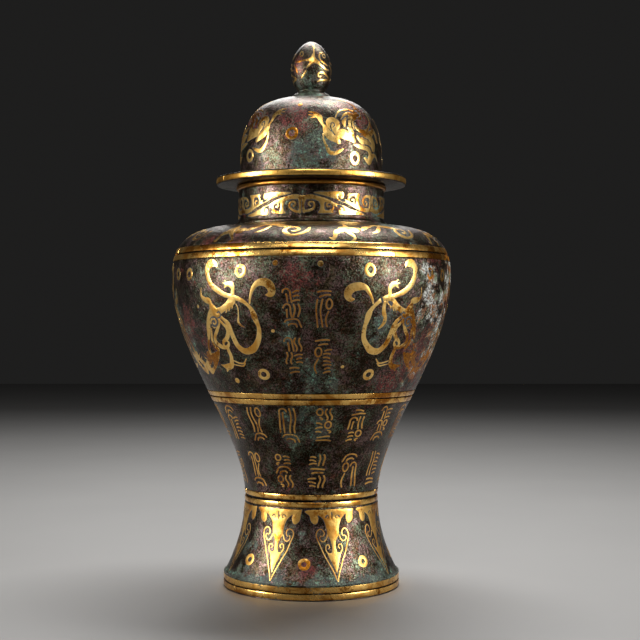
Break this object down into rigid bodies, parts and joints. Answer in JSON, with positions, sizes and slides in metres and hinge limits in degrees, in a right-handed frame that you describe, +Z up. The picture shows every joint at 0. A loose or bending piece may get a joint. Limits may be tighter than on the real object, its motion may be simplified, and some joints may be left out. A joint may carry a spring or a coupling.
{
  "type": "lidded bronze jar with gold inlay",
  "caption": "Tall baluster bronze jar with a flared foot, broad shoulder, short neck, domed lid with a bud knob, and flush gold bands.",
  "frame": {"origin": "centre of the surface that the foot stands on", "axes": "+Z up along the jar's axis; -Y is the side that the picture shows, with the inscription's place; +X to its right"},
  "size_m": [0.1946, 0.1946, 0.38],
  "materials": {
    "bronze": "cast bronze, dark brown with green, grey and red patina",
    "gold": "hammered gold, burnished, brown where it is worn and stained"
  },
  "bodies": {
    "root": {"jar_body": "bronze", "lid": "bronze", "foot_strip_lower": "gold", "foot_strip_upper": "gold", "waist_strip_lower": "gold", "waist_strip_upper": "gold", "belly_strip_lower": "gold", "belly_strip_upper": "gold", "shoulder_strip_lower": "gold", "shoulder_strip_upper": "gold", "mouth_strip": "gold", "lid_rim_strip": "gold"}
  },
  "joints": []
}
